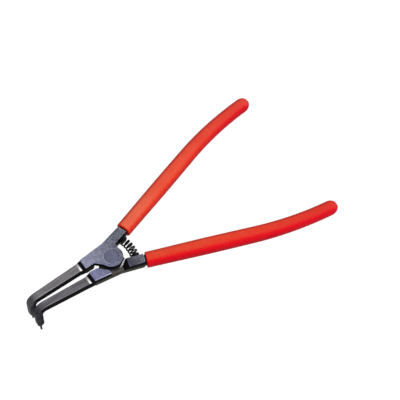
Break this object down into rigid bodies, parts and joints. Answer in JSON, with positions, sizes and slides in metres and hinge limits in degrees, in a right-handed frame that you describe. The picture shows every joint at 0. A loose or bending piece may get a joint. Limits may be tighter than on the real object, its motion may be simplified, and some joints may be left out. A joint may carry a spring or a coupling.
{
  "type": "circlip pliers",
  "caption": "Bent-tip circlip pliers for external retaining rings: lap-jointed black steel levers, flush rivet, return spring and red dipped grips; squeezing spreads the tips.",
  "frame": {"origin": "on the pivot axis, at the underside of the flush rivet", "axes": "+X along the middle line towards the handles, so the jaws point to -X; +Z along the pivot axis, away from the side the bent tips point to; +Y towards the upper lever"},
  "size_m": [0.3002, 0.1598, 0.044],
  "materials": {
    "blackened_steel": "forged steel with a dark phosphate finish, ground along the prongs",
    "rivet_steel": "flush-ground steel, darkened with the levers",
    "spring_steel": "black oiled spring steel",
    "dipped_vinyl": "satin dipped vinyl",
    "tip_steel": "hardened steel, darkened"
  },
  "bodies": {
    "lower_arm": {"lower_lever": "blackened_steel", "lower_grip": "dipped_vinyl", "lower_tip_pin": "tip_steel", "lower_spring_peg": "spring_steel", "pivot_rivet": "rivet_steel", "return_spring": "spring_steel"},
    "upper_arm": {"upper_lever": "blackened_steel", "upper_grip": "dipped_vinyl", "upper_tip_pin": "tip_steel", "upper_spring_peg": "spring_steel"}
  },
  "joints": [
    {"name": "handle_squeeze", "type": "hinge", "parent": "lower_arm", "child": "upper_arm", "pos_m": [0, 0, 0], "axis": [0, 0, -1], "range_deg": [-2.4, 32], "stiffness_Nm_per_rad": 3.6, "deforming": ["return_spring"]}
  ]
}
